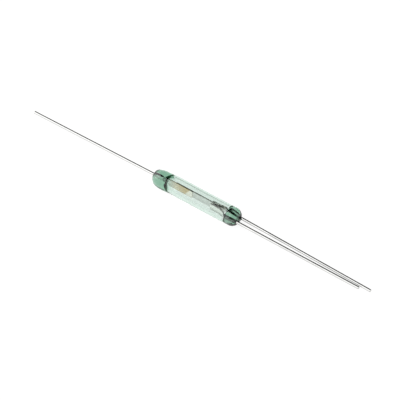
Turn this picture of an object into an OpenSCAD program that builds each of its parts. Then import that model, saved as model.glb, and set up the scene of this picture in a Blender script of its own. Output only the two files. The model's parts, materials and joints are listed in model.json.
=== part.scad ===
// Changeover reed switch: three nickel-iron leads fused into a sealed glass capsule.
// +X runs along the capsule from the common lead to the two contact leads and +Z is up.
// The origin is the middle of the capsule. The blades stand on edge, with their faces along Y.

/* [Glass capsule] */
// Length of the glass over both fused ends
glass_l = 14; // [13:0.1:18]
// Outside diameter of the glass
glass_d = 2.6; // [2.5:0.05:3.6]
// Inside diameter of the tube
bore_d = 2.05; // [1.8:0.05:2.2]
// Length over which the fused end round the common lead narrows
common_dome_l = 1.7; // [1.2:0.1:2.2]
// Radius of the flat face of that end
common_face_r = 0.45; // [0.3:0.05:0.6]
// Corner radius between that face and the long curve to the tube
common_end_round = 0.5; // [0.3:0.05:0.6]
// Corner radius of the fused end round the contact leads
contact_end_round = 1.2; // [0.5:0.05:1.2]
// Length of solid glass round the common lead
common_seal_l = 1.5; // [1.2:0.1:2.2]
// Length of solid glass round the contact leads
contact_seal_l = 1.7; // [1.4:0.1:2.4]
// Length of the cone where the bore narrows onto the common lead
bore_cone_l = 1.2; // [0.8:0.05:1.5]
// Corner radius of the bore at the contact leads
bore_round = 0.5; // [0.2:0.05:0.6]

/* [Leads] */
// Diameter of the plated wire
lead_d = 0.42; // [0.38:0.01:0.48]
// Thickness of the plating, which runs out along the seal
plating_t = 0.005; // [0.003:0.001:0.02]
// Free length of the common lead
common_lead_l = 21; // [5:0.5:30]
// Free length of the normally open lead
open_lead_l = 19.5; // [5:0.5:30]
// Free length of the normally closed lead
closed_lead_l = 21; // [5:0.5:30]
// Distance between the two contact leads where they leave the glass
lead_pitch = 0.95; // [0.9:0.01:1.1]
// How far the common lead's tip stands off towards -Y
common_sway = 0.44; // [0.1:0.02:0.6]
// How far the normally open lead's tip stands off towards +Y
open_sway = 0.07; // [0.02:0.01:0.1]
// How far the normally closed lead's tip stands off towards -Y
closed_sway = 0.37; // [0.1:0.01:0.4]
// Round stretch of wire inside the bore, before it is coined flat
neck_l = 0.15; // [0.1:0.05:0.2]

/* [Common paddle] */
// Length of the paddle, from the solid glass to its tip
paddle_l = 4.75; // [2.5:0.05:5]
// Width of the paddle
paddle_w = 1.3; // [0.9:0.05:1.4]
// Thickness of the paddle
paddle_t = 0.14; // [0.1:0.01:0.2]
// Length over which the round wire becomes the flat paddle
paddle_taper_l = 0.8; // [0.7:0.05:1.2]
// Corner radius at the paddle's tip
paddle_round = 0.2; // [0.05:0.05:0.4]

/* [Armature reed] */
// Width of the reed
reed_w = 1.2; // [0.8:0.05:1.4]
// Thickness of the reed
reed_t = 0.11; // [0.05:0.01:0.14]
// Length of the reed that is welded to the paddle
weld_l = 2.65; // [1:0.05:3]
// Corner radius at the reed's ends
reed_round = 0.25; // [0.05:0.05:0.4]

/* [Contacts] */
// Length of a contact blade, from the solid glass to its tip
contact_l = 2.9; // [2.3:0.1:3.2]
// Width of a contact blade
contact_w = 1.2; // [0.8:0.05:1.3]
// Thickness of a contact blade
contact_t = 0.16; // [0.1:0.01:0.2]
// Length over which the round wire becomes a contact blade
contact_taper_l = 0.8; // [0.6:0.05:0.9]
// Corner radius at a contact blade's tip
contact_round = 0.15; // [0.05:0.05:0.4]
// How far the reed reaches between the contact blades
contact_lap = 1.4; // [1.3:0.05:1.5]
// Opening between the reed and the normally open blade, at rest
contact_gap = 0.2; // [0.1:0.01:0.25]
// Length of the normally closed pad
pad_l = 1; // [0.5:0.05:1.2]
// Width of the normally closed pad
pad_w = 0.9; // [0.5:0.05:1.2]
// Thickness of the normally closed pad
pad_t = 0.08; // [0.05:0.01:0.12]

/* [Hidden] */
$fn = 64;

// Radii
glass_r = glass_d / 2;
bore_r = bore_d / 2;
lead_r = lead_d / 2;
seal_r = lead_r - plating_t;

// Angles of the leads to the axis
common_lean = asin(common_sway / common_lead_l);
open_lean = asin(open_sway / open_lead_l);
closed_lean = asin(closed_sway / closed_lead_l);

// Places along X
glass_end = glass_l / 2;
bore_start = -glass_end + common_seal_l;
bore_end = glass_end - contact_seal_l;
paddle_tip = bore_start + paddle_l;
reed_root = paddle_tip - weld_l;
contact_tip = bore_end - contact_l;
reed_tip = contact_tip + contact_lap;
pad_start = reed_tip - (contact_lap + pad_l) / 2;

// Places along Y, through the stack of paddle, reed, pad and blades
reed_front = paddle_t / 2;
reed_back = reed_front + reed_t;
closed_y = reed_back + pad_t + contact_t / 2;
open_y = reed_front - contact_gap - contact_t / 2;

// A coined taper starts a little fatter than the wire, and takes in the end of the wire
coin_swell = 1.03;
coin_lap = 0.04;
// Its flats start wider still, so that they come out of the round little by little
coin_relief = 1.06;

// Turns a solid built along +Z to lie along +X
module along_x() {
    rotate([0, 90, 0]) children();
}

// Stands a plate drawn in X and Y on edge: it keeps X, its Y becomes Z and it is t thick about y = 0
module on_edge(t) {
    translate([0, t / 2, 0]) rotate([90, 0, 0]) linear_extrude(t) children();
}

// Half section of a round bar from low to high, with a corner radius at each end that has one
module half_section(r, low, high, low_round, high_round) {
    intersection() {
        translate([0, low]) square([r, high - low]);
        union() {
            translate([0, low + low_round]) square([r, high - low - low_round - high_round]);
            round_corner(r, low, low_round, 1);
            round_corner(r, high, high_round, -1);
        }
    }
}

// The end of a half section whose face is at y = face, and which goes on in the direction inward
module round_corner(r, face, corner, inward) {
    if (corner > 0) {
        translate([0, min(face, face + inward * corner)]) square([r - corner, corner]);
        translate([r - corner, face + inward * corner]) circle(corner);
    }
}

// End of a half section at y = face that narrows to a flat face: a corner arc, then a long arc.
// The long arc's radius is worked out so that it meets both the corner arc and the wall smoothly.
module domed_end(r, face, face_r, corner, l) {
    reach = r - face_r;
    curve_r = (reach * reach + (l - corner) * (l - corner) - corner * corner) / (2 * (reach - corner));
    meet = l - curve_r * (l - corner) / (curve_r - corner);
    translate([0, face]) {
        square([face_r, corner]);
        translate([face_r, corner]) circle(corner);
        intersection() {
            translate([r - curve_r, l]) circle(curve_r);
            translate([0, meet]) square([r, l - meet]);
        }
    }
}

// Half section of the outside of the capsule
module glass_section() {
    dome_end = -glass_end + common_dome_l;
    intersection() {
        translate([0, -glass_end]) square([glass_r, glass_l]);
        union() {
            domed_end(glass_r, -glass_end, common_face_r, common_end_round, common_dome_l);
            translate([0, dome_end]) square([glass_r, glass_end - contact_end_round - dome_end]);
            round_corner(glass_r, glass_end, contact_end_round, -1);
        }
    }
}

// Half section of the sealed bore: a cone off the common lead, then the tube, then a round corner
module bore_section() {
    cone_end = bore_start + bore_cone_l;
    polygon([[0, bore_start], [seal_r, bore_start], [bore_r, cone_end], [0, cone_end]]);
    half_section(bore_r, cone_end, bore_end, 0, bore_round);
}

// Round wire of a lead, leaving the glass at the origin along +X and leaning towards -Y.
// Its plating runs out along the sealed stretch, which reaches back to x = -sealed_l.
module lead_wire(sealed_l, free_l, lean) {
    inner_end = -sealed_l / cos(lean);
    rotate(-lean) along_x() rotate_extrude()
        polygon([[0, inner_end], [seal_r, inner_end], [lead_r, 0], [lead_r, free_l], [0, free_l]]);
}

// Face of a coined blade in X and Y: it widens from the wire at x = 0 to w, and its tip has round corners
module blade_face(start_w, w, taper_l, l, tip_round) {
    side_end = l - tip_round;
    polygon([[0, -start_w / 2], [taper_l, -w / 2], [side_end, -w / 2],
             [side_end, w / 2], [taper_l, w / 2], [0, start_w / 2]]);
    translate([taper_l, tip_round - w / 2]) square([l - taper_l, w - 2 * tip_round]);
    for (side = [-1, 1])
        translate([side_end, side * (w / 2 - tip_round)]) circle(tip_round);
}

// Inner end of a lead: the round wire at x = 0 is coined to a blade w by t, whose tip is at x = l.
// The blade's middle is at y = shift. The taper is what its two faces and a cone have in common.
module coined_blade(l, w, t, taper_l, tip_round, shift) {
    flat_r = seal_r * coin_relief;
    start_r = seal_r * coin_swell;
    reach = abs(shift) + t / 2;
    widening = (norm([w / 2, reach]) * coin_relief - start_r) / taper_l;
    intersection() {
        translate([0, 0, -w]) linear_extrude(2 * w)
            polygon([[0, -flat_r], [taper_l, shift - t / 2], [l, shift - t / 2],
                     [l, shift + t / 2], [taper_l, shift + t / 2], [0, flat_r]]);
        on_edge(4 * (reach + flat_r)) blade_face(2 * flat_r, w, taper_l, l, tip_round);
        along_x() cylinder(h = l, r1 = start_r, r2 = start_r + widening * l);
    }
}

// Flat strip along +X from x = 0, standing on edge, with round corners at its tip
module strip(l, w, t, tip_round) {
    on_edge(t) {
        translate([0, -w / 2]) square([l - tip_round, w]);
        translate([0, tip_round - w / 2]) square([l, w - 2 * tip_round]);
        for (side = [-1, 1])
            translate([l - tip_round, side * (w / 2 - tip_round)]) circle(tip_round);
    }
}

// Distance from a lead's exit to where its inner end starts to be coined, along X
function sealed_length(seal_l) = seal_l + neck_l + coin_lap;

// How far the lean moves a lead's inner end sideways, from its exit to its coined end
function inner_shift(seal_l, lean) = (seal_l + neck_l) * tan(lean);

module common_wire() {
    translate([-glass_end, 0, 0]) mirror([1, 0, 0])
        lead_wire(sealed_length(common_seal_l), common_lead_l, common_lean);
}

// Round wire of a contact lead in the +Y half
module contact_wire(free_l, lean) {
    translate([glass_end, lead_pitch / 2, 0]) lead_wire(sealed_length(contact_seal_l), free_l, lean);
}

// Coined blade of a contact lead in the +Y half, with the blade's middle at blade_y
module contact_blade(lean, blade_y) {
    start_y = lead_pitch / 2 + inner_shift(contact_seal_l, lean);
    shift = blade_y - start_y;
    translate([bore_end - neck_l, start_y, 0]) mirror([1, 0, 0])
        coined_blade(contact_l - neck_l, contact_w, contact_t, contact_taper_l, contact_round, shift);
}

module glass_capsule() {
    color([0.72, 0.88, 0.80, 0.45]) difference() {
        along_x() rotate_extrude() glass_section();
        along_x() rotate_extrude() bore_section();
        common_wire();
        contact_wire(closed_lead_l, closed_lean);
        mirror([0, 1, 0]) contact_wire(open_lead_l, open_lean);
    }
}

module common_lead() {
    start_y = inner_shift(common_seal_l, common_lean);
    color([0.78, 0.74, 0.62]) {
        common_wire();
        translate([bore_start + neck_l, start_y, 0])
            coined_blade(paddle_l - neck_l, paddle_w, paddle_t, paddle_taper_l, paddle_round, -start_y);
    }
}

module armature_reed() {
    color([0.70, 0.71, 0.69]) translate([reed_root, (reed_front + reed_back) / 2, 0])
        strip(reed_tip - reed_root, reed_w, reed_t, reed_round);
}

module normally_open_lead() {
    color([0.76, 0.76, 0.75]) mirror([0, 1, 0]) {
        contact_wire(open_lead_l, open_lean);
        contact_blade(open_lean, -open_y);
    }
}

module normally_closed_lead() {
    color([0.76, 0.76, 0.75]) {
        contact_wire(closed_lead_l, closed_lean);
        contact_blade(closed_lean, closed_y);
    }
}

module normally_closed_pad() {
    color([0.62, 0.60, 0.56]) translate([pad_start, reed_back, -pad_w / 2]) cube([pad_l, pad_t, pad_w]);
}

glass_capsule();
common_lead();
armature_reed();
normally_open_lead();
normally_closed_lead();
normally_closed_pad();
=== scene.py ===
"""Looks of a changeover glass reed switch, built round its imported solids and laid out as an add-on.

All lengths are in metres, in the frame of the solids: +X along the capsule from the common lead to
the two contact leads, +Z up, the origin in the middle of the capsule.
"""

import json
import math
from typing import NamedTuple

import bpy
import numpy as np
from bpy.props import FloatProperty, FloatVectorProperty, IntProperty, PointerProperty
from mathutils import Matrix, Vector


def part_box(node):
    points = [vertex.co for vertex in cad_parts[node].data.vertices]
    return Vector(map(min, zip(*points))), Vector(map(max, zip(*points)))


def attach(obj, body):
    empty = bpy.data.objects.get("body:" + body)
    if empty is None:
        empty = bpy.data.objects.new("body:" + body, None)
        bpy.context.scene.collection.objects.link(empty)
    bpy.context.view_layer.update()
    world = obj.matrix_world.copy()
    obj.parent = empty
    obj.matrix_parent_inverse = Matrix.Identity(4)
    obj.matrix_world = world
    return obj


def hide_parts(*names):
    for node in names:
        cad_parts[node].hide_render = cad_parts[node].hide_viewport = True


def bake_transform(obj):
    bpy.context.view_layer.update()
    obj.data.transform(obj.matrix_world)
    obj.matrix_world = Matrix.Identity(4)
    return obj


bl_info = {
    "name": "Glass reed switch",
    "version": (1, 0, 0),
    "blender": (4, 5, 0),
    "location": "View3D > Sidebar > Reed switch",
    "description": "Adds the glass, leads, reed and pad of a changeover reed switch, and its stage",
    "category": "Add Mesh",
}

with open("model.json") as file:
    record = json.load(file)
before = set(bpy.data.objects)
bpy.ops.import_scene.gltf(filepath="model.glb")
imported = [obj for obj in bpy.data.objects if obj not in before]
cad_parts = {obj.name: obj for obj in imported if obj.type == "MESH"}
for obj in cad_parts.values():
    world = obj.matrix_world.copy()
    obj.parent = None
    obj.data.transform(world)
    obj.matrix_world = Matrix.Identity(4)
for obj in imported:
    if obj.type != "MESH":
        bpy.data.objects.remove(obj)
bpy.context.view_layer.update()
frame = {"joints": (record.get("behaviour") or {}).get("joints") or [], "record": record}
MOUNTS = {mount["name"]: mount for mount in frame["record"]["mounts"]}
MM = 0.001


def node_box(node):
    """Lowest and highest corner of a solid, as arrays."""
    low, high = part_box(node)
    return np.array(low), np.array(high)


GLASS_LOW, GLASS_HIGH = node_box("glass_capsule")
REED_LOW, REED_HIGH = node_box("armature_reed")
PAD_LOW, PAD_HIGH = node_box("normally_closed_pad")
HINGE = np.array(frame["joints"][0]["pos_m"])
LEAD_R = MOUNTS["common_lead_wire"]["dims"]["r_mm"] * MM

# Y and Z of the direction across the tube that is up in the photograph
UP_Y, UP_Z = 0.782, 0.622

# The bore's cone: its power, and a least radius to divide by
CONE_POWER = 0.8
TINY = 1e-9

# Rounding of the paddle's and the contact blades' long edges, per thickness
PADDLE_ROUNDING = 0.48
BLADE_ROUNDING = 0.3

# Share of a quarter circle that is used at a blade's tip and at a wire's cut end, to keep the last ring open
TIP_SHARE = 0.98
WORN_SHARE = 0.9

# Rise, fall and end of the common end's sag, along X from its face
SAG_RISE, SAG_FALL, SAG_END = 0.7 * MM, 1.6 * MM, 3.4 * MM

# Marks on the glass: start and end of each fade, along X from the contact seal and from the end faces
CONTACT_TINT = (-0.3 * MM, 0.1 * MM)
# Painted shade: a dark skin over the two end faces and low on the contact end's rim
COMMON_END_SHADE = (0.0, 0.2 * MM)
CONTACT_END_SHADE = (-0.25 * MM, -0.05 * MM)
RIM_END_SHADE = (-1.1 * MM, -0.6 * MM)

# Painted shade on the glass, by height across the tube and by that height over the radius: the contact end's
# darker lower side, the rim's dark skin and a faint dark line low along the tube
CONTACT_SHADE_SIDE = (-0.6 * MM, -0.1 * MM)
RIM_SIDE = (-0.95, -0.8)
SHADE_LINE = (-0.91, -0.84)
SHADE_LINE_BLUR = 0.02

# Marks on the contact leads along X, from the seal's inner end
BLADE_END = (-0.8 * MM, -0.3 * MM)
EDGE_PAST_TIP = (-1.9 * MM, -1.6 * MM)
UPPER_WIRE_SHADE_END = (0.4 * MM, 1.1 * MM)
CREST_WIRE_SHADE_START = (0.35 * MM, 0.6 * MM)
LOWER_WIRE_SHADE_START = (0.1 * MM, 0.6 * MM)

# The darker collar along X from the seal's outer end, and the stripes by height across the tube: painted
# shade on the oxide
COLLAR = (-0.5 * MM, -0.35 * MM)
UPPER_WIRE_SHADE = (0.1 * MM, 0.39 * MM)
CREST_WIRE_SHADE = (0.46 * MM, 0.52 * MM)
LOWER_WIRE_SHADE = (-0.37 * MM, -0.1 * MM)
WIRE_SHADE_BLUR = 0.03 * MM
CREST_WIRE_SHADE_DEPTH = 0.9

# Blur at both ends of the oxide that the glass holds
OXIDE_BLUR = 0.06 * MM

# Fade along Y from the normally open side to the normally closed one
CLOSED_SIDE = (-0.01 * MM, 0.01 * MM)

# Painted shade on the normally closed blade beside the reed's tip: along X from the reed's tip, and up Z
GAP_SHADE_BAND = (0.1 * MM, 0.5 * MM)
GAP_SHADE_BLUR = 0.05 * MM
GAP_SHADE_SIDE = (0.05 * MM, 0.3 * MM)

# Marks up a blade, in half widths: painted shade low on a contact blade's face, and painted highlight or
# shade along the edges
FACE_SHADE = (-0.6, 0.3)
CONTACT_EDGE = (0.65, 0.9)
PADDLE_EDGE = (0.94, 0.98)
REED_EDGE = (0.93, 0.965)

# Gold and cream of the paddle, in parts of its length from the seal, and the slope of the gold's end
GOLD_RISE = (-0.05, 0.8)
GOLD_FALL = (0.79, 0.86)
CREAM_RISE = (0.6, 0.8)
GOLD_SLOPE = 0.7

# The neck's painted highlight, the oxide's end and the painted shade on the oxide's upper side, on the common
# lead:
# along X from the seal's inner end, and by height across the tube
NECK_HIGHLIGHT_BAND = (-0.2 * MM, 0.6 * MM)
NECK_HIGHLIGHT_BLUR = 0.1 * MM
NECK_HIGHLIGHT_SIDE = (0.06 * MM, 0.12 * MM)
OXIDE_END = -0.3 * MM
COMMON_WIRE_SHADE = (0.03 * MM, 0.09 * MM)

# Painted shade on the reed, along X back from its tip
TIP_SHADE_END = (0.9 * MM, 1.3 * MM)
PALE_TIP_SHADE_END = (0.5 * MM, 0.8 * MM)

# The wall behind, by the view direction's Y, and the blur of its top edge
WALL_SIDE = (0.1, 0.5)
WALL_BLUR = 0.06

# Room between the glass and the floor
FLOOR_DROP = 0.1 * MM


# Sizes and colours that a user would change


def length(name, description, default):
    """A length property in metres."""
    return FloatProperty(name=name, description=description, default=default, unit="LENGTH", precision=5)


def colour(name, description, default):
    """A colour property, in linear values."""
    return FloatVectorProperty(
        name=name, description=description, default=default, subtype="COLOR", min=0, max=1)


def angle_in_degrees(name, description, degrees):
    """An angle property, given in degrees and kept in radians."""
    return FloatProperty(name=name, description=description, default=math.radians(degrees), subtype="ANGLE")


def number(name, description, default):
    """A plain number, from 0 up."""
    return FloatProperty(name=name, description=description, default=default, min=0)


def share(name, description, default):
    """A share from 0 to 1."""
    return FloatProperty(name=name, description=description, default=default, subtype="FACTOR", min=0, max=1)


class GlassSettings(bpy.types.PropertyGroup):
    """Sizes and finish of the glass capsule."""

    bore_r: length("Bore radius", "Inside radius of the tube", 1.025 * MM)
    common_round: length("Common end", "Depth of the fused end's rounding round the common lead", 0.75 * MM)
    common_dome: length("Common dome", "Length of the fused end's rounding round the common lead", 1.6 * MM)
    contact_round: length("Contact end", "Corner radius of the fused end round the contact leads", 1.12 * MM)
    common_seal: length("Common seal", "Solid glass round the common lead", 1.5 * MM)
    contact_seal: length("Contact seal", "Solid glass round the contact leads", 1.7 * MM)
    cone: length("Bore cone", "Stretch over which the bore narrows onto the common lead", 1.2 * MM)
    bore_round: length("Bore end", "Corner radius of the bore at the contact leads", 0.35 * MM)
    creep: length("Creep", "How far the glass creeps along the common lead", 0.08 * MM)
    droop: length("Droop", "How far the common end's outside sags towards -Y", 0.07 * MM)
    sag: length("Sag", "How far the common end's outside sags towards -Z", 0.07 * MM)
    lift: length("Lift", "How far the contact end stands off the axis towards +Y", 0.06 * MM)
    skew: number("Skew", "How far the bore's cone is pulled along X, per length across", 0.23)
    bowl: number("Bowl", "How much rounder the bore's cone is on its lower side", 1.0)
    around: IntProperty(name="Around", description="Points round the glass", default=144, min=24, max=512)
    tint: colour("Tint", "Colour that the glass passes best", (0.072, 0.53, 0.285))
    density: number("Density", "Absorption per metre of glass", 530.0)
    ior: FloatProperty(name="Refraction", description="Refractive index", default=1.51, min=1, max=2)
    tube_colour: colour("Tube colour", "Surface tint of the thin wall", (0.995, 1.0, 1.0))
    # Painted shade: the fused ends are tinted greyer than the tube, and the contact end darker on its lower
    # side
    common_colour: colour("Common end colour", "Surface tint of the common lead's end", (0.83, 0.86, 0.86))
    contact_colour: colour("Contact end colour", "Surface tint of the contact leads' end", (1.0, 0.93, 0.98))
    contact_shade_colour: colour("Sooty colour", "Surface tint of the lower side of that end", (0.73, 0.61, 0.66))
    # Painted shade: a dark skin over the end faces and low on the contact end's rim, its colour and thickness
    shade_colour: colour("Smoke colour", "Smoky skin of the two end faces", (0.03, 0.035, 0.03))
    shade: share("Smoke", "How thick the smoky skin is at the common lead", 0.7)
    contact_shade: share("Contact smoke", "How thick the smoky skin is at the contact leads", 0.63)
    rim_shade: share("Rim smoke", "How thick the smoky skin is low on the contact end's rim", 0.7)
    # Painted shade: a faint dark line low along the tube
    shade_line: share("Draw line", "How dark the line is that drawing left along the tube", 0.12)


class MetalSettings(bpy.types.PropertyGroup):
    """Sizes and colours of the leads, the reed and the pad."""

    neck: length("Neck", "Round stretch of wire in the bore, before it is coined", 0.15 * MM)
    paddle_taper: length("Paddle taper", "Stretch over which the wire becomes the paddle", 0.8 * MM)
    contact_taper: length("Contact taper", "Stretch over which the wire becomes a contact blade", 0.8 * MM)
    carry: length("Carry", "Stretch over which a contact blade moves sideways to its wire", 1.5 * MM)
    open_nudge: length("Open nudge", "How far the normally open wire is off its line in the seal", 0.08 * MM)
    closed_nudge: length("Closed nudge", "How far the normally closed wire is off its line there", -0.03 * MM)
    paddle_w: length("Paddle width", "Width of the paddle", 1.3 * MM)
    paddle_t: length("Paddle thickness", "Thickness of the paddle", 0.14 * MM)
    paddle_round: length("Paddle corner", "Corner radius at the paddle's tip", 0.2 * MM)
    contact_w: length("Contact width", "Width of a contact blade", 1.2 * MM)
    contact_t: length("Contact thickness", "Thickness of a contact blade", 0.16 * MM)
    contact_round: length("Contact corner", "Corner radius at a contact blade's tip", 0.15 * MM)
    contact_gap: length("Contact gap", "Opening between the reed and the normally open blade", 0.2 * MM)
    reed_round: length("Reed corner", "Corner radius at the reed's tip", 0.25 * MM)
    lead_colour: colour("Lead colour", "Bright plated wire", (0.68, 0.68, 0.67))
    oxide_colour: colour("Oxide colour", "Oxide that joins the wire to the glass", (0.40, 0.41, 0.40))
    # Painted shade: darker stripes and collar on the oxide in the seals
    wire_shade_colour: colour("Burnt colour", "Oxide where the flame burnt the wire darker", (0.04, 0.045, 0.04))
    # Painted shade along the paddle's and the reed's edges
    edge_shade_colour: colour("Edge colour", "Sheared edges of the paddle and the reed", (0.08, 0.072, 0.05))
    # Painted highlight on the blades' upper edges and on the reed's edges near its tip
    edge_highlight: colour("Contact edge colour", "Coined upper edges of the blades", (0.90, 0.86, 0.80))
    # Painted shade on the normally open blade's upper edge
    open_edge_shade: colour("Open edge colour", "Coined upper edge of the normally open blade", (0.26, 0.24, 0.22))
    # Painted highlight on the blades' upper edges near their tips
    tip_edge_highlight: colour("Contact tip colour", "Coined upper edges near the blades' tips", (0.98, 0.97, 0.94))
    # Painted light: the upper half of a blade's face lit, the lower half below in painted shade
    contact_high: colour("Contact face", "Upper half of a contact blade's face", (0.82, 0.81, 0.78))
    contact_low: colour("Contact face below", "Lower half of a contact blade's face", (0.50, 0.50, 0.48))
    # Painted shade: a dark patch on the normally closed blade beside the reed's tip
    gap_shade_colour: colour("Film colour", "Dark film on the normally closed blade", (0.08, 0.08, 0.07))
    gap_shade: share("Film", "How thick that film is", 0.65)
    # Painted highlight: a pale, less metallic patch low on the neck
    neck_highlight_colour: colour("Neck colour", "Frosted neck between lead and paddle", (0.80, 0.84, 0.80))
    gold_colour: colour("Paddle colour", "Gold tint of the paddle", (0.57, 0.43, 0.22))
    cream_colour: colour("Paddle tip colour", "Paler tip of the paddle", (0.80, 0.76, 0.70))
    reed_colour: colour("Reed colour", "Rolled spring strip", (0.70, 0.70, 0.68))
    # Painted shade: dark near the reed's tip, paler a little further back
    tip_shade_colour: colour("Plating colour", "Dark contact plating near the reed's tip", (0.17, 0.17, 0.16))
    pad_colour: colour("Pad colour", "Contact metal of the pad", (0.62, 0.57, 0.52))


class StageSettings(bpy.types.PropertyGroup):
    """Camera, light and floor."""

    azimuth: angle_in_degrees("Azimuth", "Camera angle round Z", 37.38)
    elevation: angle_in_degrees("Elevation", "Camera angle above the floor", 45.0)
    distance: length("Distance", "Camera distance from its target", 0.32)
    lens: FloatProperty(name="Lens", description="Focal length in millimetres", default=216.0, unit="CAMERA")
    aim_right: length("Aim right", "Target's offset to the camera's right", 0.387 * MM)
    aim_up: length("Aim up", "Target's offset upwards in the picture", -0.333 * MM)
    roll: angle_in_degrees("Roll", "Turn of the picture about its middle", 0.11)
    key: number("Key light", "Radiance of the bright side of the room", 1.6)
    key_azimuth: angle_in_degrees("Key azimuth", "Middle of the bright side", -32.8)
    key_elevation: angle_in_degrees("Key elevation", "Height of the bright side", 37.6)
    key_spread: angle_in_degrees("Key spread", "Half angle of the bright side", 36.0)
    soft: angle_in_degrees("Softness", "Width of the lights' edges", 10.0)
    side: number("Side light", "Radiance of the light at the left", 2.5)
    side_azimuth: angle_in_degrees("Side azimuth", "Middle of the side light", -82.0)
    side_elevation: angle_in_degrees("Side elevation", "Height of the side light", 25.0)
    side_spread: angle_in_degrees("Side spread", "Half angle of the side light", 30.0)
    wall: number("Wall", "Radiance of the pale low wall behind", 0.4)
    wall_top: angle_in_degrees("Wall top", "Height of the low wall", 17.0)
    dim: number("Dim side", "Radiance of the dark side of the room", 0.012)
    floor_colour: colour("Floor colour", "White acrylic", (0.2, 0.2, 0.2))
    floor_glow: number("Floor glow", "Light that the floor gives off", 0.93)


# Surfaces


def smooth(t):
    """Smooth step: 3 t^2 - 2 t^3, held at 0 and 1 outside the unit range."""
    t = np.clip(t, 0, 1)
    return t * t * (3 - 2 * t)


def fallen(t):
    """How far a quarter circle of radius 1 has fallen: 1 - sqrt(1 - t^2), with t held from 0 to 1."""
    t = np.clip(t, 0, 1)
    return 1 - np.sqrt(1 - t**2)


def height_across(y, z):
    """Height over the axis as the photograph shows it: y UP_Y + z UP_Z, of arrays or shader values."""
    return UP_Y * y + UP_Z * z


def put_mesh(name, points, faces, sharp_deg=40):
    """A new object at the origin from an array of points and a list of faces, smooth but for sharp edges."""
    mesh = bpy.data.meshes.new(name)
    mesh.from_pydata(points.tolist(), [], faces)
    mesh.validate()
    mesh.shade_smooth()
    mesh.set_sharp_from_angle(angle=math.radians(sharp_deg))
    piece = bpy.data.objects.new(name, mesh)
    bpy.context.scene.collection.objects.link(piece)
    return piece


def ring_faces(rings, around, first=0):
    """Quads between neighbouring rings of a grid that closes on itself, as a list of index lists."""
    ring, step = np.meshgrid(np.arange(rings - 1), np.arange(around), indexing="ij")
    after = (step + 1) % around
    quads = np.stack([ring * around + step, ring * around + after,
                      (ring + 1) * around + after, (ring + 1) * around + step], axis=-1)
    return (quads.reshape(-1, 4) + first).tolist()


def turned_shell(x, r, around, inward=False, first=0):
    """Surface of revolution about X that closes on the axis at both ends.

    Point (i, j) is (x_i, r_i cos a_j, r_i sin a_j) with a_j even round the circle; the first and
    last of the profile's points are the two poles. inward turns the faces towards the axis.
    """
    angle = np.linspace(0, 2 * np.pi, around, endpoint=False)
    rings = len(x) - 2
    body = np.stack([np.repeat(x[1:-1, None], around, axis=1),
                     r[1:-1, None] * np.cos(angle), r[1:-1, None] * np.sin(angle)], axis=-1)
    points = np.vstack([body.reshape(-1, 3), [[x[0], 0, 0], [x[-1], 0, 0]]])
    step = np.arange(around)
    after = (step + 1) % around
    low_pole, high_pole = rings * around, rings * around + 1
    low_fan = np.stack([np.full(around, low_pole), after, step], axis=-1)
    last = (rings - 1) * around
    high_fan = np.stack([np.full(around, high_pole), last + step, last + after], axis=-1)
    faces = ring_faces(rings, around) + low_fan.tolist() + high_fan.tolist()
    turn = -1 if inward else 1
    return points, [[index + first for index in face[::turn]] for face in faces]


def corner_arc(x_face, r_edge, radius, direction_x, count, reach=None):
    """Quarter ellipse between an end face at x_face and a wall at r_edge, from the face to the wall.

    It is radius deep across the axis and reach long along it; without a reach it is a quarter circle.
    """
    angle = np.linspace(0, np.pi / 2, count)
    long = reach or radius
    return x_face + direction_x * long * (1 - np.cos(angle)), r_edge - radius * (1 - np.sin(angle))


def section_ring(half_t, half_w, corner, per_corner):
    """Rounded rectangle in Y and Z for each station: four quarter circles of radius corner.

    Where half_t, half_w and corner are equal it is a circle. Returns arrays (station, point) of y and z.
    """
    quarter = (np.arange(per_corner) + 0.5) / per_corner * (np.pi / 2)
    angle = np.concatenate([quarter + k * np.pi / 2 for k in range(4)])
    sign_y = np.repeat([1, -1, -1, 1], per_corner)
    sign_z = np.repeat([1, 1, -1, -1], per_corner)
    y = sign_y * (half_t - corner)[:, None] + corner[:, None] * np.cos(angle)
    z = sign_z * (half_w - corner)[:, None] + corner[:, None] * np.sin(angle)
    return y, z


def swept_bar(name, x, y, half_t, half_w, corner, per_corner=12):
    """Bar carried along X: at each station a rounded rectangle centred at (x, y, 0), with flat caps."""
    ring_y, ring_z = section_ring(half_t, half_w, corner, per_corner)
    around = 4 * per_corner
    points = np.stack([np.repeat(x[:, None], around, axis=1), y[:, None] + ring_y, ring_z], axis=-1)
    first_cap = list(range(around))[::-1]
    last_cap = list(range((len(x) - 1) * around, len(x) * around))
    turn = -1 if x[-1] < x[0] else 1
    faces = [face[::turn] for face in ring_faces(len(x), around) + [first_cap, last_cap]]
    return put_mesh(name, points.reshape(-1, 3), faces)


# Shader maths


class Value:
    """A shader socket that can be used in Python sums: each operator adds a Math node."""

    def __init__(self, shader, socket):
        self.shader = shader
        self.socket = socket

    def _math(self, operation, first, second):
        return self.shader.node("ShaderNodeMath", {"operation": operation}, {0: first, 1: second})

    def __add__(self, other):
        return self._math("ADD", self, other)

    def __radd__(self, other):
        return self._math("ADD", other, self)

    def __sub__(self, other):
        return self._math("SUBTRACT", self, other)

    def __rsub__(self, other):
        return self._math("SUBTRACT", other, self)

    def __mul__(self, other):
        return self._math("MULTIPLY", self, other)

    def __rmul__(self, other):
        return self._math("MULTIPLY", other, self)

    def __truediv__(self, other):
        return self._math("DIVIDE", self, other)

    def __pow__(self, other):
        return self._math("POWER", self, other)


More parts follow.
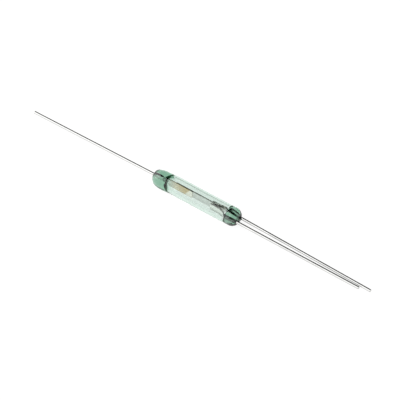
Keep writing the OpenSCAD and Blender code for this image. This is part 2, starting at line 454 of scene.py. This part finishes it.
class Shader:
    """Builds one node tree."""

    def __init__(self, tree):
        self.tree = tree
        tree.nodes.clear()

    def node(self, kind, settings=None, inputs=None, output=0):
        """Adds a node of that type, sets its settings and its sockets, and returns one output as a Value."""
        made = self.tree.nodes.new(kind)
        for key, value in (settings or {}).items():
            setattr(made, key, value)
        for key, value in (inputs or {}).items():
            if isinstance(value, Value):
                self.tree.links.new(value.socket, made.inputs[key])
            else:
                made.inputs[key].default_value = value
        return Value(self, made.outputs[output])

    def axis(self, name):
        """X, Y or Z of the point in the piece's own coordinates, in metres."""
        place = self.node("ShaderNodeTexCoord", output="Object")
        return self.node("ShaderNodeSeparateXYZ", inputs={0: place}, output=name)

    def noise(self, stretch, detail=3.0, rough=0.5, seed=0.0):
        """Noise from 0 to 1 whose grain is stretch features per metre along X, Y and Z."""
        place = self.node("ShaderNodeTexCoord", output="Object")
        scaled_place = self.node("ShaderNodeMapping", {"vector_type": "POINT"},
                                 {"Vector": place, "Scale": stretch, "Location": (seed, seed, seed)})
        return self.node("ShaderNodeTexNoise", {"noise_dimensions": "3D"},
                         {"Vector": scaled_place, "Scale": 1.0, "Detail": detail, "Roughness": rough})

    def step(self, value, low, high, to_low=0.0, to_high=1.0):
        """Smooth step of a value from low to high."""
        inputs = {"Value": value, "From Min": low, "From Max": high, "To Min": to_low, "To Max": to_high}
        return self.node("ShaderNodeMapRange", {"interpolation_type": "SMOOTHSTEP"}, inputs)

    def band(self, value, low, high, blur):
        """1 between low and high, 0 elsewhere, with blurred ends."""
        rise = self.step(value, low - blur, low + blur)
        return rise * self.step(value, high - blur, high + blur, 1.0, 0.0)

    def mix(self, amount, first, second):
        """Mix of two colours, each a Value or three numbers."""
        made = self.tree.nodes.new("ShaderNodeMix")
        made.data_type = "RGBA"
        made.clamp_factor = True
        for socket, value in ((made.inputs[0], amount), (made.inputs[6], first), (made.inputs[7], second)):
            if isinstance(value, Value):
                self.tree.links.new(value.socket, socket)
            else:
                socket.default_value = value if isinstance(value, float) else (*value, 1)
        return Value(self, made.outputs[2])

    def bump(self, height, distance):
        """Normal from a height field, with distance in metres."""
        inputs = {"Height": height, "Distance": distance, "Strength": 1.0}
        return self.node("ShaderNodeBump", inputs=inputs, output="Normal")

    def surface(self, inputs, volume=None, skin=None):
        """A Principled BSDF with those inputs, and if given a volume and a skin (amount, colour)."""
        shader = self.node("ShaderNodeBsdfPrincipled", inputs=inputs)
        if skin:
            amount, skin_colour = skin
            cover_inputs = {"Base Color": (*skin_colour, 1), "Roughness": 0.4}
            cover = self.node("ShaderNodeBsdfPrincipled", inputs=cover_inputs)
            shader = self.node("ShaderNodeMixShader", inputs={0: amount, 1: shader, 2: cover})
        ends = {"Surface": shader}
        if volume:
            ends["Volume"] = volume
        out = self.tree.nodes.new("ShaderNodeOutputMaterial")
        for key, value in ends.items():
            self.tree.links.new(value.socket, out.inputs[key])


def new_material(name):
    """An empty node material and its builder."""
    material = bpy.data.materials.new(name)
    material.use_nodes = True
    return material, Shader(material.node_tree)


def scaled(tone, amount):
    """A colour times a number, held at 1."""
    return tuple(min(1.0, amount * value) for value in tone)


# Finishes


def glass_finish(settings):
    """Pale green fire-polished glass: clear in the thin wall, with painted shade that greys the fused ends,
    darkens the contact end's lower side, puts a dark skin on the end faces and the contact end's lower rim,
    and draws a faint dark line low along the tube.

    around is a point's height across the tube over its distance from the axis, from -1 at the
    photograph's lower side to 1 at its upper side.
    """
    material, make = new_material("envelope_glass")
    x, y, z = make.axis("X"), make.axis("Y"), make.axis("Z")
    height = height_across(y, z)
    around = height / (y * y + z * z) ** 0.5
    x_low, x_high = float(GLASS_LOW[0]), float(GLASS_HIGH[0])
    seal_low, seal_high = x_low + settings.common_seal, x_high - settings.contact_seal
    at_common = make.step(x, seal_low, seal_low + settings.cone, 1.0, 0.0)
    at_contact = make.step(x - seal_high, *CONTACT_TINT)
    # Painted shade: a dark diffuse skin over the two end faces and low on the contact end's rim
    common_shade = make.step(x - x_low, *COMMON_END_SHADE, settings.shade, 0.0)
    contact_shade = make.step(x - x_high, *CONTACT_END_SHADE, 0.0, settings.contact_shade)
    rim_shade = make.step(around, *RIM_SIDE, settings.rim_shade, 0.0) * make.step(x - x_high, *RIM_END_SHADE)
    shade = common_shade + contact_shade + rim_shade
    # Painted shade: the fused ends greyer than the tube, the contact end darker on its lower side
    contact_tone = make.mix(make.step(height, *CONTACT_SHADE_SIDE), settings.contact_shade_colour, settings.contact_colour)
    tone = make.mix(at_common, settings.tube_colour, settings.common_colour)
    tone = make.mix(at_contact, tone, contact_tone)
    # Painted shade: a faint dark line low along the tube, between the fused ends
    line = make.band(around, *SHADE_LINE, SHADE_LINE_BLUR) * (1.0 - at_common) * (1.0 - at_contact)
    tone = make.mix(settings.shade_line * line, tone, (0.0, 0.0, 0.0))
    ripple = make.noise((220.0, 900.0, 900.0), detail=2.0, seed=3.0)
    volume = make.node("ShaderNodeVolumeAbsorption",
                       inputs={"Color": (*settings.tint, 1), "Density": settings.density})
    make.surface({
        "Base Color": tone,
        "Roughness": make.step(ripple, 0.35, 0.8, 0.0, 0.015),
        "IOR": settings.ior,
        "Transmission Weight": 1.0,
        "Normal": make.bump(ripple, 1.5e-6),
    }, volume, (shade, settings.shade_colour))
    return material


def drawn_wire(make, seed):
    """Roughness and height of bright drawn wire: long streaks along X over a fine grain."""
    streak = make.noise((300.0, 26000.0, 26000.0), detail=3.0, seed=seed)
    grain = make.noise((24000.0, 24000.0, 24000.0), detail=2.0, seed=seed + 5.0)
    rough = make.step(streak, 0.3, 0.75, 0.08, 0.16) + make.step(grain, 0.4, 0.8, 0.0, 0.04)
    return rough, streak * 0.7 + grain * 0.3


def lead_finish(settings, seal_low, seal_high):
    """Contact leads: bright plated wire, oxide in the glass with painted shade stripes, and blades with
    painted shade low on their faces, a painted highlight along their less metallic upper edges (painted shade
    on the normally open blade's) and painted shade beside the reed's tip.
    """
    material, make = new_material("contact_alloy")
    rough, relief = drawn_wire(make, 2.0)
    cloud = make.noise((500.0, 1500.0, 1500.0), seed=11.0)
    dull = scaled(settings.lead_colour, 0.86)
    bright = make.mix(make.step(cloud, 0.35, 0.7), settings.lead_colour, dull)
    x, y, z = make.axis("X"), make.axis("Y"), make.axis("Z")
    into_seal = x - seal_low
    up_blade = z / (settings.contact_w / 2)
    closed = make.step(y, *CLOSED_SIDE)
    blade = make.step(into_seal, *BLADE_END, 1.0, 0.0)
    # Painted shade: the lower half of each blade's face darker
    face = make.mix(make.step(up_blade, *FACE_SHADE), settings.contact_low, settings.contact_high)
    # Painted highlight along the blades' upper edges, lighter near the tips, and painted shade along the
    # normally open blade's; less metallic there
    edge = blade * make.step(up_blade, *CONTACT_EDGE)
    rim = make.mix(make.step(into_seal, *EDGE_PAST_TIP), settings.tip_edge_highlight, settings.edge_highlight)
    rim = make.mix(closed, settings.open_edge_shade, rim)
    tone = make.mix(edge, make.mix(blade, bright, face), rim)
    past_reed = x - float(REED_HIGH[0])
    # Painted shade between the blades: a dark patch on the normally closed blade beside the reed's tip
    gap_shade = closed * make.band(past_reed, *GAP_SHADE_BAND, GAP_SHADE_BLUR) * make.step(z, *GAP_SHADE_SIDE)
    tone = make.mix(settings.gap_shade * gap_shade, tone, settings.gap_shade_colour)
    height = height_across(y, z)
    # Painted shade: dark stripes by height across the tube and a darker collar on the oxide in the seal
    upper = make.band(height, *UPPER_WIRE_SHADE, WIRE_SHADE_BLUR) * make.step(into_seal, *UPPER_WIRE_SHADE_END, 1.0, 0.0)
    crest = make.step(height, *CREST_WIRE_SHADE) * make.step(into_seal, *CREST_WIRE_SHADE_START, 0.0, CREST_WIRE_SHADE_DEPTH)
    lower = make.band(height, *LOWER_WIRE_SHADE, WIRE_SHADE_BLUR) * make.step(into_seal, *LOWER_WIRE_SHADE_START)
    collar = make.step(x - seal_high, *COLLAR)
    oxide_and_shade = make.mix(upper + crest + lower + collar, settings.oxide_colour, settings.wire_shade_colour)
    sealed = make.band(x, seal_low, seal_high, OXIDE_BLUR)
    make.surface({
        "Base Color": make.mix(sealed, tone, oxide_and_shade),
        "Metallic": 1.0 - 0.85 * edge,
        "Roughness": rough + 0.2 * sealed,
        "Normal": make.bump(relief, 1.0e-6),
    })
    return material


def common_finish(settings, seal_low, seal_high, paddle_tip):
    """The common lead's finish: bright wire, and a paddle tinted gold that fades out at both ends; painted
    shade along the paddle's upper front edge and on the oxide's upper side, and a painted highlight low on
    the neck.

    along is 0 at the seal's inner end and 1 at the paddle's tip. slanted is the same with a lean up Z,
    so that the gold ends on a slope.
    """
    material, make = new_material("common_alloy")
    rough, relief = drawn_wire(make, 1.0)
    x, y, z = make.axis("X"), make.axis("Y"), make.axis("Z")
    from_seal = x - seal_high
    span = paddle_tip - seal_high
    along = from_seal / span
    slanted = (from_seal - GOLD_SLOPE * z) / span
    cloud = make.noise((1200.0, 2500.0, 2500.0), seed=4.0)
    gold = make.step(along, *GOLD_RISE) * make.step(slanted, *GOLD_FALL, 1.0, 0.0)
    gold = gold * make.step(cloud, 0.2, 0.6, 0.8, 1.0)
    plain = make.mix(make.step(along, *CREAM_RISE), settings.lead_colour, settings.cream_colour)
    bright = make.mix(gold, plain, settings.gold_colour)
    # Painted shade along the paddle's upper front edge
    up_paddle = z / (settings.paddle_w / 2)
    edge = make.step(up_paddle, *PADDLE_EDGE) * make.step(y, 0.0, 0.35 * settings.paddle_t, 1.0, 0.0)
    height = height_across(y, z)
    pale_oxide = scaled(settings.oxide_colour, 1.5)
    # Painted shade: the upper side of the common lead's oxide darker
    oxide_and_shade = make.mix(make.step(height, *COMMON_WIRE_SHADE), pale_oxide, settings.wire_shade_colour)
    sealed = make.band(x, seal_low, seal_high + OXIDE_END, OXIDE_BLUR)
    # Painted highlight: pale, less metallic and rougher low on the neck
    neck_highlight = make.band(from_seal, *NECK_HIGHLIGHT_BAND, NECK_HIGHLIGHT_BLUR) * make.step(height, *NECK_HIGHLIGHT_SIDE, 1.0, 0.0)
    tone = make.mix(neck_highlight, make.mix(edge, bright, settings.edge_shade_colour), settings.neck_highlight_colour)
    make.surface({
        "Base Color": make.mix(sealed, tone, oxide_and_shade),
        "Metallic": 1.0 - 0.7 * neck_highlight,
        "Roughness": rough + 0.1 * gold + 0.2 * sealed + 0.3 * neck_highlight,
        "Normal": make.bump(relief, 1.0e-6),
    })
    return material


def reed_finish(settings):
    """Rolled spring strip: satin grey with fine rolling lines along its length; painted shade darkens it near
    its tip and along its edges, with a painted highlight on the edges near the tip.
    """
    material, make = new_material("reed_alloy")
    lines = make.noise((400.0, 9000.0, 30000.0), detail=3.0, seed=6.0)
    cloud = make.noise((900.0, 2000.0, 2000.0), seed=7.0)
    dull = scaled(settings.reed_colour, 0.9)
    face = make.mix(make.step(cloud, 0.3, 0.7), settings.reed_colour, dull)
    off_middle = make.node("ShaderNodeMath", {"operation": "ABSOLUTE"}, {0: make.axis("Z")})
    # Painted shade: the reed's face dark near its tip, paler a little further back
    from_tip = float(REED_HIGH[0]) - make.axis("X")
    near_tip = make.step(from_tip, *TIP_SHADE_END, 1.0, 0.0)
    pale_tip_shade = scaled(settings.tip_shade_colour, 4.2)
    tip_shade = make.mix(make.step(from_tip, *PALE_TIP_SHADE_END), pale_tip_shade, settings.tip_shade_colour)
    face = make.mix(near_tip, face, tip_shade)
    # Painted shade along the reed's edges, and a painted highlight on them near its tip
    edge = make.step(off_middle / float(REED_HIGH[2]), *REED_EDGE)
    edge_tone = make.mix(near_tip, settings.edge_shade_colour, settings.edge_highlight)
    make.surface({
        "Base Color": make.mix(edge, face, edge_tone),
        "Metallic": 1.0 - 0.7 * (edge * near_tip),
        "Roughness": make.step(lines, 0.3, 0.7, 0.24, 0.38),
        "Normal": make.bump(lines, 1.0e-6),
    })
    return material


def pad_finish(settings):
    """Satin contact metal."""
    material, make = new_material("pad_alloy")
    grain = make.noise((14000.0, 14000.0, 14000.0), detail=3.0, seed=8.0)
    dull = scaled(settings.pad_colour, 0.8)
    make.surface({
        "Base Color": make.mix(make.step(grain, 0.3, 0.7), settings.pad_colour, dull),
        "Metallic": 0.3,
        "Roughness": make.step(grain, 0.3, 0.7, 0.3, 0.45),
        "Normal": make.bump(grain, 1.5e-6),
    })
    return material


# Pieces


def place_piece(piece, material, node, body="capsule"):
    """Gives a piece its material, hides its solid, and lets it ride on its body."""
    piece.data.materials.append(material)
    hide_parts(node)
    if body:
        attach(piece, body)


def outer_skin(glass):
    """Outside of the capsule: a turned shell with two rounded ends.

    Each end is a quarter ellipse from its flat face to the wall. A bump along X, made of two smooth
    steps, pushes the common end towards -Y by droop and towards -Z by sag. A smooth step of x lifts
    the contact end towards +Y.
    """
    x_low, x_high, r_out = GLASS_LOW[0] - glass.creep, GLASS_HIGH[0], GLASS_HIGH[2]
    low_x, low_r = corner_arc(x_low, r_out, glass.common_round, 1.0, count=32, reach=glass.common_dome)
    high_x, high_r = corner_arc(x_high, r_out, glass.contact_round, -1.0, count=24)
    wall = np.linspace(low_x[-1], high_x[-1], 40)[1:-1]
    x = np.concatenate([[x_low, x_low], low_x, wall, high_x[::-1], [x_high, x_high]])
    wall_r = np.full(len(wall), r_out)
    r = np.concatenate([[0, low_r[0] / 2], low_r, wall_r, high_r[::-1], [high_r[0] / 2, 0]])
    points, faces = turned_shell(x, r, glass.around)
    from_end = points[:, 0] - x_low
    sagged = smooth(from_end / SAG_RISE) * smooth((SAG_END - from_end) / SAG_FALL)
    points[:, 1] += glass.lift * smooth(points[:, 0] / x_high) - glass.droop * sagged
    points[:, 2] -= glass.sag * sagged
    return points, faces


def bore_skin(glass, first):
    """Inside of the capsule: a turned shell, from a cone on the common lead to the contact leads.

    Over the cone the radius is R - (R - r) (1 - t)^p, with t from 0 to 1 along it. The power p grows by
    bowl from the upper side to the lower one. The lift is the outside's. Last the cone is skewed:
    x falls by skew times the height across the tube, fading out over one more length of the cone.
    """
    bore_low, bore_high = GLASS_LOW[0] + glass.common_seal, GLASS_HIGH[0] - glass.contact_seal
    narrowing = glass.bore_r - LEAD_R
    along = np.linspace(0, 1, 28)
    cone_x = bore_low + glass.cone * along
    cone_r = glass.bore_r - narrowing * (1 - along) ** CONE_POWER
    end_x, end_r = corner_arc(bore_high, glass.bore_r, glass.bore_round, -1.0, count=20)
    wall = np.linspace(cone_x[-1], end_x[-1], 30)[1:-1]
    wall_r = np.full(len(wall), glass.bore_r)
    x = np.concatenate([[bore_low], cone_x, wall, end_x[::-1], [bore_high, bore_high]])
    r = np.concatenate([[0], cone_r, wall_r, end_r[::-1], [end_r[0] / 2, 0]])
    points, faces = turned_shell(x, r, glass.around, inward=True, first=first)
    radius = np.hypot(points[:, 1], points[:, 2])
    divisor = np.maximum(radius, TINY)
    part = np.clip((points[:, 0] - bore_low) / glass.cone, 0, 1)
    power = CONE_POWER + glass.bowl * (1 - height_across(points[:, 1], points[:, 2]) / divisor) / 2
    bowl_r = glass.bore_r - narrowing * (1 - part) ** power
    in_cone = (part < 1) & (radius > 0.5 * LEAD_R)
    points[:, 1:] *= np.where(in_cone, bowl_r / divisor, 1.0)[:, None]
    points[:, 1] += glass.lift * smooth(points[:, 0] / GLASS_HIGH[0])
    height = height_across(points[:, 1], points[:, 2])
    points[:, 0] -= glass.skew * height * smooth((cone_x[-1] + glass.cone - points[:, 0]) / glass.cone)
    return points, faces


class Blade(NamedTuple):
    """Flat end of a lead: tip's X, middle's Y, section, tip's corner radius, edge radius per thickness."""

    tip: float
    y: float
    thickness: float
    width: float
    corner: float
    edge: float


def lead_path(mount_name):
    """Exit point, end point and direction of a lead's free wire, from its mount."""
    mount = MOUNTS[mount_name]
    middle, axis = np.array(mount["pos_m"]), np.array(mount["axis"])
    half = mount["dims"]["length_mm"] * MM / 2
    return middle - axis * half, middle + axis * half, axis


def make_lead(name, mount_name, blade, seal, neck, taper, carry, nudge=0.0):
    """A lead from its cut end to its blade's tip, as one bar carried along X.

    The wire is a circle of radius LEAD_R on the mount's axis. Over the length taper a smooth step
    turns that circle into the blade's section, and over the length carry another moves it sideways to
    the blade's place. At the blade's tip the half width follows a quarter circle, and so does the
    whole section at the wire's cut end. Inside the seal the wire stands nudge off its line.
    """
    exit_point, end_point, axis = lead_path(mount_name)
    inward = -1.0 if axis[0] > 0 else 1.0
    inner_x = exit_point[0] + inward * (seal + neck)
    taper_end = inner_x + inward * taper
    bevel = 0.1 * LEAD_R
    cut_x = end_point[0] + inward * (np.array([0.0, 0.35, 1.0]) * bevel)
    wire_x = np.linspace(end_point[0] + inward * 4 * bevel, inner_x, 60)
    taper_x = np.linspace(inner_x, taper_end, 26)[1:]
    blade_x = np.linspace(taper_end, blade.tip - inward * blade.corner, 12)[1:]
    tip_x = blade.tip - inward * blade.corner * (1 - np.sin(np.linspace(0, np.pi / 2, 12)))[1:]
    x = np.concatenate([cut_x, wire_x, taper_x, blade_x, tip_x])
    flat = smooth((x - inner_x) / (taper_end - inner_x))
    wire_y = exit_point[1] + (x - exit_point[0]) * axis[1] / axis[0]
    y = wire_y + (blade.y - wire_y) * smooth((x - inner_x) / (inward * carry))
    in_seal = inward * (x - exit_point[0])
    nudge_rise, nudge_fall = 0.35 * seal, 2 * neck
    y = y + nudge * smooth(in_seal / nudge_rise) * smooth((seal + nudge_fall - in_seal) / nudge_fall)
    half_t = LEAD_R + (blade.thickness / 2 - LEAD_R) * flat
    half_w = LEAD_R + (blade.width / 2 - LEAD_R) * flat
    corner = LEAD_R + (blade.edge * blade.thickness - LEAD_R) * flat
    half_w = half_w - blade.corner * fallen(1 - np.abs(blade.tip - x) / blade.corner) * TIP_SHARE
    shrink = bevel * fallen(1 - np.abs(x - end_point[0]) / bevel) * WORN_SHARE
    return swept_bar(name, x, y, half_t - shrink, half_w - shrink, corner - shrink)


class REED_OT_envelope(bpy.types.Operator):
    """Adds the fused glass capsule"""

    bl_idname = "reed_switch.envelope"
    bl_label = "Glass capsule"

    def execute(self, context):
        glass = context.scene.reed_glass
        outer, outer_faces = outer_skin(glass)
        inner, inner_faces = bore_skin(glass, len(outer))
        points, faces = np.vstack([outer, inner]), outer_faces + inner_faces
        piece = put_mesh("glass_envelope", points, faces, sharp_deg=60)
        place_piece(piece, glass_finish(glass), "glass_capsule")
        return {"FINISHED"}


class REED_OT_leads(bpy.types.Operator):
    """Adds the common lead with its paddle, and the two contact leads with their blades"""

    bl_idname = "reed_switch.leads"
    bl_label = "Leads"

    def execute(self, context):
        glass, metal = context.scene.reed_glass, context.scene.reed_metal
        paddle_tip = float(HINGE[0])
        paddle = Blade(paddle_tip, 0.0, metal.paddle_t, metal.paddle_w, metal.paddle_round, PADDLE_ROUNDING)
        common = make_lead("common_wire_and_paddle", "common_lead_wire", paddle, glass.common_seal,
                           metal.neck, metal.paddle_taper, metal.paddle_taper)
        gilt = common_finish(metal, GLASS_LOW[0], GLASS_LOW[0] + glass.common_seal, paddle_tip)
        place_piece(common, gilt, "common_lead")
        bright = lead_finish(metal, GLASS_HIGH[0] - glass.contact_seal, GLASS_HIGH[0])
        closed_y = PAD_HIGH[1] + metal.contact_t / 2
        open_y = REED_LOW[1] - metal.contact_gap - metal.contact_t / 2
        sides = (("normally_open_lead", open_y, metal.open_nudge),
                 ("normally_closed_lead", closed_y, metal.closed_nudge))
        for node, blade_y, nudge in sides:
            blade = Blade(node_box(node)[0][0], blade_y, metal.contact_t, metal.contact_w,
                          metal.contact_round, BLADE_ROUNDING)
            piece = make_lead(node + "_wire", node + "_wire", blade, glass.contact_seal, metal.neck,
                              metal.contact_taper, metal.carry, nudge)
            place_piece(piece, bright, node)
        return {"FINISHED"}


class REED_OT_reed(bpy.types.Operator):
    """Adds the spring reed; in the switch it bends from the paddle's tip on"""

    bl_idname = "reed_switch.reed"
    bl_label = "Spring reed"

    def execute(self, context):
        metal = context.scene.reed_metal
        low, high, tip_round = REED_LOW, REED_HIGH, metal.reed_round
        arc = 1 - np.sin(np.linspace(0, np.pi / 2, 14))
        x = np.concatenate([np.linspace(low[0], high[0] - tip_round, 90), (high[0] - tip_round * arc)[1:]])
        half_w = (high[2] - low[2]) / 2 - tip_round * fallen(1 - (high[0] - x) / tip_round) * TIP_SHARE
        half_t = np.full(len(x), (high[1] - low[1]) / 2)
        middle = np.full(len(x), (high[1] + low[1]) / 2)
        piece = swept_bar("spring_reed", x, middle, half_t, half_w, 0.6 * half_t, per_corner=6)
        place_piece(piece, reed_finish(metal), "armature_reed", body=None)
        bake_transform(piece)
        return {"FINISHED"}


class REED_OT_pad(bpy.types.Operator):
    """Adds the contact pad on the normally closed blade"""

    bl_idname = "reed_switch.pad"
    bl_label = "Contact pad"

    def execute(self, context):
        metal = context.scene.reed_metal
        low, high = PAD_LOW, PAD_HIGH
        bevel = 0.15 * (high[1] - low[1])
        rounding = bevel * (1 - np.sin(np.linspace(0, np.pi / 2, 5)))
        flat_x = np.linspace(low[0] + bevel, high[0] - bevel, 8)[1:-1]
        x = np.sort(np.concatenate([low[0] + rounding, flat_x, high[0] - rounding]))
        inside = np.minimum(x - low[0], high[0] - x)
        shrink = bevel * fallen(1 - inside / bevel)
        half_t = (high[1] - low[1]) / 2 - shrink
        half_w = (high[2] - low[2]) / 2 - shrink
        middle = np.full(len(x), (high[1] + low[1]) / 2)
        corner = np.full(len(x), 0.5 * bevel)
        piece = swept_bar("contact_pad", x, middle, half_t, half_w, corner, per_corner=5)
        place_piece(piece, pad_finish(metal), "normally_closed_pad")
        return {"FINISHED"}


# Stage


def direction(azimuth, elevation):
    """Unit vector from the object towards a viewer at that azimuth and elevation."""
    level = math.cos(elevation)
    return Vector((math.sin(azimuth) * level, -math.cos(azimuth) * level, math.sin(elevation)))


def add_camera(stage):
    """A long lens at the photograph's viewing angle."""
    back = direction(stage.azimuth, stage.elevation)
    right = Vector((math.cos(stage.azimuth), math.sin(stage.azimuth), 0))
    up = back.cross(right)
    data = bpy.data.cameras.new("camera")
    data.lens = stage.lens
    data.sensor_width = 36.0
    data.clip_start = 0.01
    camera = bpy.data.objects.new("camera", data)
    place = right * stage.aim_right + up * stage.aim_up + back * stage.distance
    turn = Matrix((right, up, back)).transposed().to_4x4()
    camera.matrix_world = Matrix.Translation(place) @ turn @ Matrix.Rotation(stage.roll, 4, "Z")
    bpy.context.scene.collection.objects.link(camera)
    bpy.context.scene.camera = camera


def soft_box(make, view_direction, azimuth, elevation, spread, soft, level):
    """Radiance of a round soft light: level inside its half angle spread, fading to 0 over its edge soft."""
    toward = make.node("ShaderNodeVectorMath", {"operation": "DOT_PRODUCT"},
                       {0: view_direction, 1: tuple(direction(azimuth, elevation))}, output="Value")
    inner, outer = math.cos(spread - soft / 2), math.cos(spread + soft / 2)
    return make.step(toward, outer, inner, 0.0, level)


def light_room(stage):
    """A dim room: a broad soft light in front, a smaller one far to the left and a pale low wall behind."""
    world = bpy.data.worlds.new("room")
    world.use_nodes = True
    bpy.context.scene.world = world
    make = Shader(world.node_tree)
    view_direction = make.node("ShaderNodeTexCoord", output="Generated")
    key = soft_box(make, view_direction, stage.key_azimuth, stage.key_elevation, stage.key_spread, stage.soft,
                   stage.key)
    side = soft_box(make, view_direction, stage.side_azimuth, stage.side_elevation, stage.side_spread,
                    stage.soft, stage.side)
    behind = make.node("ShaderNodeSeparateXYZ", inputs={0: view_direction}, output="Y")
    height = make.node("ShaderNodeSeparateXYZ", inputs={0: view_direction}, output="Z")
    top = math.sin(stage.wall_top)
    wall = make.step(behind, *WALL_SIDE, 0.0, stage.wall)
    wall = wall * make.step(height, top - WALL_BLUR, top + WALL_BLUR, 1.0, 0.0)
    light = key + side + wall + stage.dim
    background = make.node("ShaderNodeBackground", inputs={"Color": (1, 1, 1, 1), "Strength": light})
    out = make.tree.nodes.new("ShaderNodeOutputWorld")
    make.tree.links.new(background.socket, out.inputs["Surface"])


def add_floor(stage):
    """A wide disc of white acrylic just under the glass, which glows evenly: rings of growing radius."""
    radius = np.array([0.0, 0.02, 0.1, 0.5, 3.0])
    around = 64
    angle = np.linspace(0, 2 * np.pi, around, endpoint=False)
    rings = radius[1:, None, None] * np.stack([np.cos(angle), np.sin(angle), 0 * angle], axis=-1)
    points = np.vstack([rings.reshape(-1, 3), [[0, 0, 0]]]) + [0, 0, GLASS_LOW[2] - FLOOR_DROP]
    step = np.arange(around)
    fan = np.stack([np.full(around, len(points) - 1), step, (step + 1) % around], axis=-1).tolist()
    bands = [face[::-1] for face in ring_faces(len(radius) - 1, around)]
    floor = put_mesh("floor", points, bands + fan)
    material, make = new_material("floor_acrylic")
    cloud = make.noise((900.0, 900.0, 900.0), detail=2.0)
    dull = scaled(stage.floor_colour, 0.99)
    make.surface({
        "Base Color": make.mix(make.step(cloud, 0.3, 0.7), stage.floor_colour, dull),
        "Roughness": 0.9,
        "Specular IOR Level": 0.0,
        "Emission Color": (1.0, 1.0, 1.0, 1.0),
        "Emission Strength": stage.floor_glow,
    })
    floor.data.materials.append(material)


class REED_OT_stage(bpy.types.Operator):
    """Adds the camera, the soft light and the pale floor"""

    bl_idname = "reed_switch.stage"
    bl_label = "Stage"

    def execute(self, context):
        stage = context.scene.reed_stage
        add_camera(stage)
        light_room(stage)
        add_floor(stage)
        scene = context.scene
        scene.view_settings.view_transform = "Standard"
        scene.view_settings.look = "None"
        scene.cycles.max_bounces = 24
        scene.cycles.transmission_bounces = 24
        scene.cycles.glossy_bounces = 12
        return {"FINISHED"}


class REED_PT_panel(bpy.types.Panel):
    """Lists the reed switch's pieces and settings"""

    bl_label = "Reed switch"
    bl_idname = "REED_PT_panel"
    bl_space_type = "VIEW_3D"
    bl_region_type = "UI"
    bl_category = "Reed switch"

    def draw(self, context):
        for operator in OPERATORS:
            self.layout.operator(operator.bl_idname)
        for settings in (context.scene.reed_glass, context.scene.reed_metal, context.scene.reed_stage):
            box = self.layout.box()
            for name in settings.__annotations__:
                box.prop(settings, name)


SETTINGS = {"reed_glass": GlassSettings, "reed_metal": MetalSettings, "reed_stage": StageSettings}
OPERATORS = (REED_OT_stage, REED_OT_envelope, REED_OT_leads, REED_OT_reed, REED_OT_pad)


def register():
    for name, settings in SETTINGS.items():
        bpy.utils.register_class(settings)
        setattr(bpy.types.Scene, name, PointerProperty(type=settings))
    for item in (*OPERATORS, REED_PT_panel):
        bpy.utils.register_class(item)


def unregister():
    for item in (REED_PT_panel, *reversed(OPERATORS)):
        bpy.utils.unregister_class(item)
    for name, settings in SETTINGS.items():
        delattr(bpy.types.Scene, name)
        bpy.utils.unregister_class(settings)


def main():
    register()
    bpy.ops.reed_switch.stage()
    bpy.ops.reed_switch.envelope()
    bpy.ops.reed_switch.leads()
    bpy.ops.reed_switch.reed()
    bpy.ops.reed_switch.pad()


if __name__ == "__main__":
    main()
